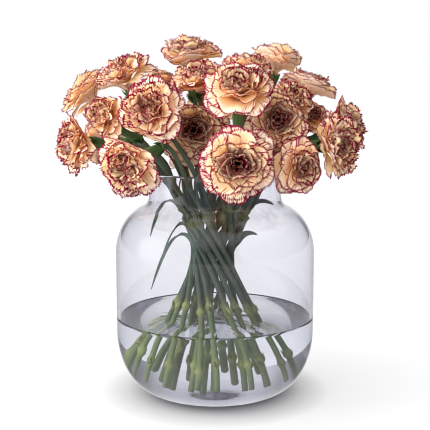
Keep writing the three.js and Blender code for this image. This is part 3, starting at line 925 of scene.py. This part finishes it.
def addLeaf(shape, course, z, bearing, length, lean, curl):
    m = leafSize
    root = spiral(course["spot"], z)
    along = unit(spiral(course["spot"], z + 1) - spiral(course["spot"], z - 1))
    out = unit([root[0], root[1] - middleAt(z), 0])
    out = np.array([*rotated(out[0], out[1], math.radians(bearing)), 0])
    across = np.cross(along, out)

    def path(t):
        drop = np.array([0, 0, -length * curl * t ** 3])
        return root + out * m["off"] + along * length * t * (1 - m["slowing"] * t) + out * length * lean * t * t + drop

    handed = 1 if out[0] > 0 else -1
    rings, acrossMarks, alongMarks = [], [], []
    for t in np.linspace(0, m["tip"], m["rings"]):
        ahead = unit(path(t + 0.01) - path(t))
        face = unit(np.cross(ahead, across))
        side = np.cross(face, ahead)
        side, face = rotated(side, face, -math.radians(m["twist"]) * t * handed)
        opened = m["rootWidth"] + (1 - m["rootWidth"]) * float(smoothStep(*m["rootEnds"], t))
        half = 0.5 * m["width"] * math.sqrt(1 - t) * opened
        fold = m["channel"] * (1 - m["channelLess"] * t)
        thick = m["thick"] * (1 - m["thickLess"] * t)
        rings.append([path(t) + side * half * x + face * (fold * (d + 0.5) + thick * k) for x, d, k in m["outline"]])
        acrossMarks += [x for x, _, _ in m["outline"]]
        alongMarks += [t * length / 10] * len(m["outline"])
    faces = [tuple(reversed(face)) for face in ringFaces(len(rings), len(m["outline"]))]
    shape.add(rings, faces, 2, across=acrossMarks, along=alongMarks)


def makeStems():
    for i, (course, site) in enumerate(zip(courses, sites)):
        shape = Shape()
        draw = makeDraw(bunch["growthSeed"] + i)
        addStem(shape, course, site, draw)
        addSheaths(shape, course, draw)
        addCalyx(shape, site, draw)
        for bloom, *growth in leaves:
            if bloom == i + 1:
                addLeaf(shape, course, *growth)
        name = f"stem_{i + 1:02d}"
        mesh = shape.mesh("fine_" + name, [stemGreen, calyxGreen, leafGreen])
        place(mesh, "fine_" + name, [name])


makeStems()
print("stems, calyxes and leaves are grown")


petalShape = {
    "columns": 20,
    "rows": 10,
    "lastRow": 0.965,
    "variants": 5,  # of each whorl's petal, plain and again ruffled
    "seeds": (1301, 37, 101),  # the first, and how much further for each variant and whorl
    "thick": 0.32,
    "rootR": 2.0,
    "rootH": -14,
    "leaveEase": 0.5,
    "arriveEase": 0.45,
    "clawHalf": 1.8,
    "widths": (0.85, 0.3),
    "folds": (-0.5, 1.6),
    "leans": (-0.08, 0.16),
    "round": 0.16,  # how far the corners of the rim fall back
    "openEnds": (0.2, 0.95),
    "waves": ((0.9, 0.9), (2.2, 1.0), (4.2, 1.4)),  # how many cross the petal, and how many more there may be
    "plain": (0.72, (1.0, 0.4, 0.12)),  # how deep the ruffle is, and its share in each wave
    "ruffled": (1.05, (1.0, 0.6, 0.3)),
    "tooth": 1.05,
    "toothSizes": (0.5, 0.9),
    "notch": 2.2,
    "notched": 0.09,  # how often a tooth is a deep notch
}

# From the outside in: petals in the whorl, the rim's radius (share of the bloom's) and height,
# the slopes in which the petal leaves its root and reaches its rim (degrees), its half width,
# its ruffle, its fold, its sideways lean, how closely it wraps the middle, and how far in it belongs.
whorlKeys = "name count rim rimH leave arrive half ruffle fold skew wrap inner".split()
whorls = [dict(zip(whorlKeys, row)) for row in [
    ("guard", 7, 1.0, -3, 70, -16, 16.5, 2.2, 1.5, 0.0, 34, 0.0),
    ("outer", 7, 0.93, 3.5, 76, 2, 16.5, 2.8, 2.5, 0.05, 30, 0.05),
    ("middle", 7, 0.80, 10, 80, 22, 16, 3.4, 3.5, 0.15, 22, 0.2),
    ("upper", 7, 0.62, 14, 84, 40, 14.5, 3.8, 4.5, 0.3, 16, 0.45),
    ("crown", 7, 0.44, 16, 87, 60, 12, 3.8, 4.5, 0.5, 11, 0.7),
    ("curl", 6, 0.28, 15, 89, 74, 9, 3.0, 3.5, 0.7, 8, 0.9),
    ("heart", 4, 0.12, 11, 90, 80, 5.5, 1.6, 1.5, 0.8, 5, 1.0),
]]
meanRadius = 33


def petalLine(whorl):
    # The middle line of a petal from its claw to its rim, as (radius, height) stops and the run to each.
    p, rim, rimH = petalShape, whorl["rim"] * meanRadius, whorl["rimH"]
    leave, arrive = math.radians(whorl["leave"]), math.radians(whorl["arrive"])
    span = math.hypot(rim - p["rootR"], rimH - p["rootH"])
    first, last = p["leaveEase"] * span, p["arriveEase"] * span
    line = bezier([
        (p["rootR"], p["rootH"]),
        (p["rootR"] + first * math.cos(leave), p["rootH"] + first * math.sin(leave)),
        (rim - last * math.cos(arrive), rimH - last * math.sin(arrive)),
        (rim, rimH),
    ], np.linspace(0, 1, 60))
    return line, np.concatenate([[0], np.cumsum(np.linalg.norm(np.diff(line, axis=0), axis=1))])


def petalMesh(whorl, variant):
    p = petalShape
    first, perVariant, perWhorl = p["seeds"]
    draw = makeDraw(first + perVariant * variant + perWhorl * whorls.index(whorl))
    line, run = petalLine(whorl)
    length, arrive = run[-1], math.radians(whorl["arrive"])
    deep, sizes = p["ruffled" if variant >= p["variants"] else "plain"]
    waves = [(draw(*many), draw(0, fullTurn), size) for many, size in zip(p["waves"], sizes)]
    fold = whorl["fold"] * draw(*p["folds"])
    lean = whorl["skew"] + draw(*p["leans"])
    wide = whorl["half"] * draw(*p["widths"])

    def middle(s):
        return np.interp(s, run, line[:, 0]), np.interp(s, run, line[:, 1])

    def surface(u, v, tooth=0.0):
        # u runs from -1 to 1 across the petal, v from 0 at the claw to 1 at the rim.
        s = v * (1 - p["round"] * abs(u) ** 2.4 * v) * length + tooth
        r, h = middle(s)
        backR, backH = middle(max(s, 0.5) - 0.5)
        slope = math.atan2(h - backH, r - backR + 1e-6)
        if s > length:
            r += (s - length) * math.cos(arrive)
            h += (s - length) * math.sin(arrive)
            slope = arrive
        if s < 0.6:
            slope = math.radians(whorl["leave"])
        opened = float(smoothStep(*p["openEnds"], v)) ** 0.8
        half = p["clawHalf"] + (wide - p["clawHalf"]) * opened
        x = half * u * (1 - 0.1 * opened)
        frill = deep * whorl["ruffle"] * (0.25 * opened + 0.75 * v ** 3) * opened
        lift = frill * 0.75 * sum(size * math.sin(math.pi * many * u + phase) for many, phase, size in waves)
        lift += fold * opened * (abs(u) ** 1.4 - 0.4) + frill * 0.5 * math.sin(v * 7 + waves[0][1])
        # The petal wraps the middle of the bloom, or its own axis where it is nearer than that.
        reach = r - lift * math.sin(slope)
        wrap = max(whorl["wrap"], half / 1.25)
        if wrap < reach:
            bend = x / wrap
            px, py = wrap * math.sin(bend), reach - wrap * (1 - math.cos(bend))
        else:
            bend = x / max(reach, half / 2.2, 1.0)
            px, py = reach * math.sin(bend), reach * math.cos(bend)
        return (*rotated(px, py, -lean * v * v), h + lift * math.cos(slope)), x, s

    columns, rows = p["columns"], p["rows"]
    points, acrossMarks, gapMarks = [], [], []
    for i in range(rows):
        v = (i / rows) ** 0.85 * p["lastRow"]
        for j in range(columns + 1):
            u = 2 * j / columns - 1
            point, x, s = surface(u, v)
            points.append(point)
            acrossMarks.append(x)
            gapMarks.append(surface(u, 1)[2] - s)
    rimStart = len(points)
    for j in range(2 * columns + 1):
        tooth = draw(*p["toothSizes"]) * (1 if j % 2 else -1) * p["tooth"]
        if draw() < p["notched"]:
            tooth -= p["notch"]
        point, x, _ = surface(j / columns - 1, 1, tooth)
        points.append(point)
        acrossMarks.append(x)
        gapMarks.append(0)
    faces = []
    for i in range(rows - 1):
        for j in range(columns):
            a, b = i * (columns + 1) + j, (i + 1) * (columns + 1) + j
            faces.append((a, a + 1, b + 1, b))
    for j in range(columns):
        a, b = (rows - 1) * (columns + 1) + j, rimStart + 2 * j
        faces += [(a, b + 1, b), (a, a + 1, b + 1), (a + 1, b + 2, b + 1)]
    shape = Shape()
    shape.add(points, faces, 0, across=acrossMarks, rimGap=gapMarks, inner=whorl["inner"])
    return shape.mesh(f"{whorl['name']}Petal{variant:02d}", [petalFace])


def makeLibrary():
    library = []
    for whorl in whorls:
        folder = bpy.data.collections.new(whorl["name"] + "Petals")
        for variant in range(2 * petalShape["variants"]):
            mesh = petalMesh(whorl, variant)
            folder.objects.link(bpy.data.objects.new(mesh.name, mesh))
        library.append(folder)
    return library


bloomInputs = {
    "Seed": ("NodeSocketInt", 1),
    "Turn": ("NodeSocketFloat", 0.0),
    "Size": ("NodeSocketFloat", 1.0),
    "First shape": ("NodeSocketInt", 0),
    "Tilt jitter": ("NodeSocketFloat", 0.15),
    "Turn jitter": ("NodeSocketFloat", 0.22),
    "Size jitter": ("NodeSocketFloat", 0.09),
    "Height jitter": ("NodeSocketFloat", 0.0012),
}
turnPerWhorl = 0.41  # radians
seedPerWhorl = 17.0
firstSeed = 100
seedPerBloom = 7


def makeBloomTree(library):
    # Petals stand round the axis, whorl within whorl; each takes a shape, a tilt and a tone of its own.
    tree = bpy.data.node_groups.new("bloomPetals", "GeometryNodeTree")
    tree.interface.new_socket(name="Geometry", in_out="OUTPUT", socket_type="NodeSocketGeometry")
    for name, (kind, value) in bloomInputs.items():
        tree.interface.new_socket(name=name, in_out="INPUT", socket_type=kind).default_value = value
    n = Nodes(tree)
    given = n.node("NodeGroupInput").outputs
    index = n.node("GeometryNodeInputIndex").outputs[0]
    join = n.node("GeometryNodeJoinGeometry")

    def drawn(low, high, seed, kind="FLOAT"):
        first, output = {"FLOAT": (2, 1), "INT": (4, 2)}[kind]
        values = {first: low, first + 1: high, "Seed": seed}
        return n.node("FunctionNodeRandomValue", values, data_type=kind).outputs[output]

    def jitter(key, seed):
        return n.times(drawn(-1.0, 1.0, seed), given[key + " jitter"])

    for k, (whorl, folder) in enumerate(zip(whorls, library)):
        seed = n.plus(given["Seed"], seedPerWhorl * k)
        angle = n.plus(n.times(index, 2 * math.pi / whorl["count"]), given["Turn"])
        angle = n.plus(n.plus(angle, turnPerWhorl * k), jitter("Turn", n.plus(seed, 1)))
        tilt = jitter("Tilt", n.plus(seed, 2))
        size = jitter("Size", n.plus(seed, 3))
        pick = drawn(0, petalShape["variants"] - 1, n.plus(seed, 4), "INT")
        tone = drawn(0.0, 1.0, n.plus(seed, 5))
        lift = jitter("Height", n.plus(seed, 6))
        shapes = n.node("GeometryNodeCollectionInfo", {
            "Collection": folder,
            "Separate Children": True,
            "Reset Children": True,
        })
        spots = n.node("GeometryNodePoints", {"Count": whorl["count"], "Position": n.vector(0.0, 0.0, lift)})
        copies = n.node("GeometryNodeInstanceOnPoints", {
            "Points": spots.outputs[0],
            "Instance": shapes.outputs[0],
            "Pick Instance": True,
            "Instance Index": n.plus(pick, given["First shape"]),
            "Rotation": n.vector(tilt, 0.0, angle),
            "Scale": n.times(n.plus(size, 1.0), given["Size"]),
        })
        toned = {"Geometry": copies.outputs[0], "Name": "tone", "Value": tone}
        stored = n.node("GeometryNodeStoreNamedAttribute", toned, data_type="FLOAT", domain="INSTANCE")
        n.feed(join.inputs[0], stored.outputs[0])
    real = n.node("GeometryNodeRealizeInstances", {0: join.outputs[0]})
    paint = n.node("GeometryNodeSetMaterial", {0: real.outputs[0], "Material": petalFace})
    n.node("NodeGroupOutput", {0: paint.outputs[0]})
    return tree


denseBlooms = (2, 3, 5, 6, 8, 9, 11, 13, 16, 19, 20, 21, 23, 26)  # crimson all through the middle
ruffledBlooms = (2, 5, 6, 8, 9, 11, 13, 16, 19, 20, 23, 26)


def growPetals(tree, i, site):
    # One bloom's petals as a plain mesh about its own axis, in metres.
    carrier = linked("carrier", bpy.data.meshes.new("carrier"))
    rule = carrier.modifiers.new("petals", "NODES")
    rule.node_group = tree
    named = {s.name: s.identifier for s in tree.interface.items_tree if s.in_out == "INPUT"}
    rule[named["Seed"]] = firstSeed + seedPerBloom * i
    rule[named["Turn"]] = site["turn"]
    rule[named["Size"]] = site["radius"] / meanRadius
    rule[named["First shape"]] = petalShape["variants"] if i + 1 in ruffledBlooms else 0
    graph = bpy.context.evaluated_depsgraph_get()
    mesh = bpy.data.meshes.new_from_object(carrier.evaluated_get(graph), preserve_all_data_layers=True, depsgraph=graph)
    bpy.data.objects.remove(carrier)
    return mesh


# How blooms press on their neighbours, in mm.
pressing = {
    "soft": 4,
    "softShare": 1.2,
    "firmR": 9,
    "clear": 0.6,
    "depth": 15,
    "hubH": 4,
    "near": 8,
    "softRounds": 2,
    "firmRounds": 4,
}


def roomOf(i):
    # The middle of a bloom, and towards each near neighbour how far its petals may reach and would.
    def hubOf(site):
        return site["at"] + site["faces"] * pressing["hubH"]

    def reachOf(site, n):
        c = abs(n.dot(site["faces"]))
        return math.sqrt(site["radius"] ** 2 * (1 - c * c) + pressing["depth"] ** 2 * c * c)

    own, limits = sites[i], []
    for j, other in enumerate(sites):
        if j == i:
            continue
        n = hubOf(other) - hubOf(own)
        apart = np.linalg.norm(n)
        n = n / apart
        mine, theirs = reachOf(own, n), reachOf(other, n)
        if apart < mine + theirs + pressing["near"]:
            limits.append((n, apart * mine / (mine + theirs) - pressing["clear"], mine))
    return hubOf(own), limits


def bendClear(points, room):
    hub, limits = room
    q = points - hub
    for _ in range(pressing["softRounds"]):
        for n, far, mine in limits:
            soft = min(pressing["softShare"] * max(mine - far, 0) + pressing["soft"], far - pressing["firmR"])
            s, start = q @ n, far - soft
            over = np.maximum(s - start, 0)
            q = q + np.outer(np.where(s > start, start + soft * (1 - np.exp(-over / soft)) - s, 0), n)
    for _ in range(pressing["firmRounds"]):
        for n, far, _ in limits:
            q = q - np.outer(np.maximum(q @ n - far, 0), n)
    return q + hub


def makeBlooms():
    library = makeLibrary()
    tree = makeBloomTree(library)
    for i, site in enumerate(sites):
        mesh = growPetals(tree, i, site)
        local = np.zeros(len(mesh.vertices) * 3, np.float32)
        mesh.vertices.foreach_get("co", local)
        local = local.reshape(-1, 3).astype(float) / metre
        points = site["at"] + local[:, :1] * site["u"] + local[:, 1:2] * site["v"] + local[:, 2:] * site["faces"]
        points = bendClear(points, roomOf(i))
        mesh.vertices.foreach_set("co", (points * metre).astype(np.float32).ravel())
        mesh.materials.append(petalBack)
        marks = mesh.attributes.new("dense", "FLOAT", "POINT")
        marks.data.foreach_set("value", [1.0 if i + 1 in denseBlooms else 0.0] * len(mesh.vertices))
        mesh.name = f"fine_bloom_{i + 1:02d}"
        mesh.update()
        piece = place(mesh, mesh.name, [f"bloom_{i + 1:02d}"])
        sheet = piece.modifiers.new("sheet", "SOLIDIFY")
        sheet.thickness = petalShape["thick"] * metre
        sheet.offset = 0
        sheet.use_rim = True
        sheet.material_offset = 1
        print(f"bloom {i + 1} has {len(mesh.polygons)} faces in its petals")
    for folder in library:
        for thing in list(folder.objects):
            bpy.data.objects.remove(thing)
        bpy.data.collections.remove(folder)


makeBlooms()
print("blooms are open")


vase = {
    "footR": 61,
    "footEdge": ((1.2, 0), (0.3, 0.35), (0, 1.2)),  # in from the foot's radius, and up
    "hollow": 0.7,  # the underside rises a little, so it stands on a ring
    "hollowShape": ((0.3, 1), (0.66, 0.93), (0.74, 0.6), (0.79, 0)),  # shares of the foot's radius and of the rise
    "lip": 2,
    "bodyR": 101.5,
    "cornerAt": (61.5, 66),
    "cornerSize": (40, 64),
    "wallTopZ": 144,
    "shoulderSize": (38, 49),
    "shoulderEnd": 62,
    "neckR": 67,
    "neckZ": 203.5,
    "neckLeave": 9,
    "neckArrive": (0.6, -11.5),
    "rimR": 64.5,
    "rimH": 2,
    "rimArc": (15, 165, 9),
    "height": 226.5,
    "wall": 3.5,
    "floor": 8,
    "floorR": 30,
    "rings": {"corner": 22, "wall": 8, "shoulder": 18, "bend": 14, "neck": 5},
    "sides": 128,
}

water = {
    "level": 78.7,
    "intoGlass": 0.15,  # the water wets the glass, so no air is left between them
    "intoStem": 0.35,
    "climb": 1.1,  # how far it creeps up the glass
    "climbShape": ((0, 1), (0.3, 0.6), (1, 0.25), (2.4, 0)),  # in from the glass, and the share of the climb
    "floorR": 40,
    "topR": 60,
    "holeSides": 10,
    "holeStep": 5,
}


def turned(profile, sides):
    # A closed skin turned round the upright axis; the profile starts and ends on it.
    a = anglesRound(sides)
    rings = [circle(a, r, (1, 0, 0), (0, 1, 0)) + (0, 0, z) for r, z in profile[1:-1]]
    faces = ringFaces(len(rings), sides, closedEnds=False)
    points = np.concatenate([*rings, [(0, 0, profile[0][1]), (0, 0, profile[-1][1])]])
    low, high = len(points) - 2, len(points) - 1
    last = (len(rings) - 1) * sides
    for j in range(sides):
        k = (j + 1) % sides
        faces.append((low, k, j))
        faces.append((high, last + j, last + k))
    return points, faces


def glassOutline(inset):
    # From the foot up to the rim, on the outside or that far inside it.
    v, rings, points = vase, vase["rings"], []
    floorZ = v["lip"] if inset == 0 else v["floor"] + inset - v["wall"]
    (cornerR, cornerZ), wallTopZ, (wide, high) = v["cornerAt"], v["wallTopZ"], v["shoulderSize"]
    for a in np.radians(np.linspace(0, 90, rings["corner"])):
        across = cornerR + math.sin(a) * (v["cornerSize"][0] - inset)
        points.append((across, cornerZ - math.cos(a) * (cornerZ - floorZ)))
    for z in np.linspace(cornerZ, wallTopZ, rings["wall"])[1:-1]:
        points.append((v["bodyR"] - inset, z))
    for a in np.radians(np.linspace(0, v["shoulderEnd"], rings["shoulder"])):
        across = v["bodyR"] - wide + math.cos(a) * (wide - inset)
        points.append((across, wallTopZ + math.sin(a) * (high - inset)))
    start = np.array(points[-1])
    ahead = unit(start - points[-2])
    end = np.array([v["neckR"] - inset, v["neckZ"] - inset / 2])
    bend = (start, start + ahead * v["neckLeave"], end + v["neckArrive"], end)
    points += [tuple(p) for p in bezier(bend, np.linspace(0, 1, rings["bend"])[1:])]
    for z in np.linspace(end[1], v["height"] - v["rimH"], rings["neck"])[1:]:
        share = (z - end[1]) / (v["height"] - end[1])
        points.append((v["neckR"] + (v["rimR"] - v["neckR"]) * share - inset, z))
    return points


def makeVase():
    v, r = vase, vase["footR"]
    outside, inside = glassOutline(0), glassOutline(v["wall"])
    outX, inX = outside[-1][0], inside[-1][0]
    half, middle, base = (outX - inX) / 2, (outX + inX) / 2, v["height"] - v["rimH"]
    first, last, count = v["rimArc"]
    arc = np.radians(np.linspace(first, last, count))
    rim = [(middle + half * math.cos(a), base + v["rimH"] * math.sin(a)) for a in arc]
    foot = [(r * across, v["hollow"] * up) for across, up in v["hollowShape"]]
    foot += [(r - inset, z) for inset, z in v["footEdge"]]
    profile = [(0, v["hollow"]), *foot, *outside, *rim, *reversed(inside), (v["floorR"], v["floor"]), (0, v["floor"])]
    shape = Shape()
    shape.add(*turned(profile, v["sides"]))
    place(shape.mesh("fine_vase", [clearGlass]), "fine_vase", ["vase"])


def makeWater():
    level = water["level"]
    inset = vase["wall"] - water["intoGlass"]
    wall = [p for p in glassOutline(inset) if p[1] < level - 1]
    top = [(vase["bodyR"] - inset - inward, level + water["climb"] * share) for inward, share in water["climbShape"]]
    low = wall[0][1]
    profile = [(0, low), (water["floorR"], low), *wall, *top, (water["topR"], level), (0, level)]
    shape = Shape()
    shape.add(*turned(profile, vase["sides"]))
    piece = place(shape.mesh("fine_water", [stillWater]), "fine_water", ["water"])
    # Each stem stands in a hole of its own.
    holes = Shape()
    for course in courses:
        heights = np.arange(course["footZ"] + 1, level + 6, water["holeStep"])
        stops = [spiral(course["spot"], z) for z in heights]
        holes.addRings(sweep(stops, [stemRadius(z) - water["intoStem"] for z in heights], water["holeSides"]))
    cutter = linked("holes", holes.mesh("holes", []))
    cut = piece.modifiers.new("holes", "BOOLEAN")
    cut.object = cutter
    cut.solver = "EXACT"
    graph = bpy.context.evaluated_depsgraph_get()
    drilled = bpy.data.meshes.new_from_object(piece.evaluated_get(graph))
    piece.modifiers.remove(cut)
    piece.data = drilled
    bpy.data.objects.remove(cutter)


makeVase()
makeWater()
print("the vase is blown and filled")

light = bpy.context.scene.cycles
light.filter_width = 1.1
light.max_bounces = 24
light.diffuse_bounces = 12
light.transmission_bounces = 20
light.transparent_max_bounces = 24
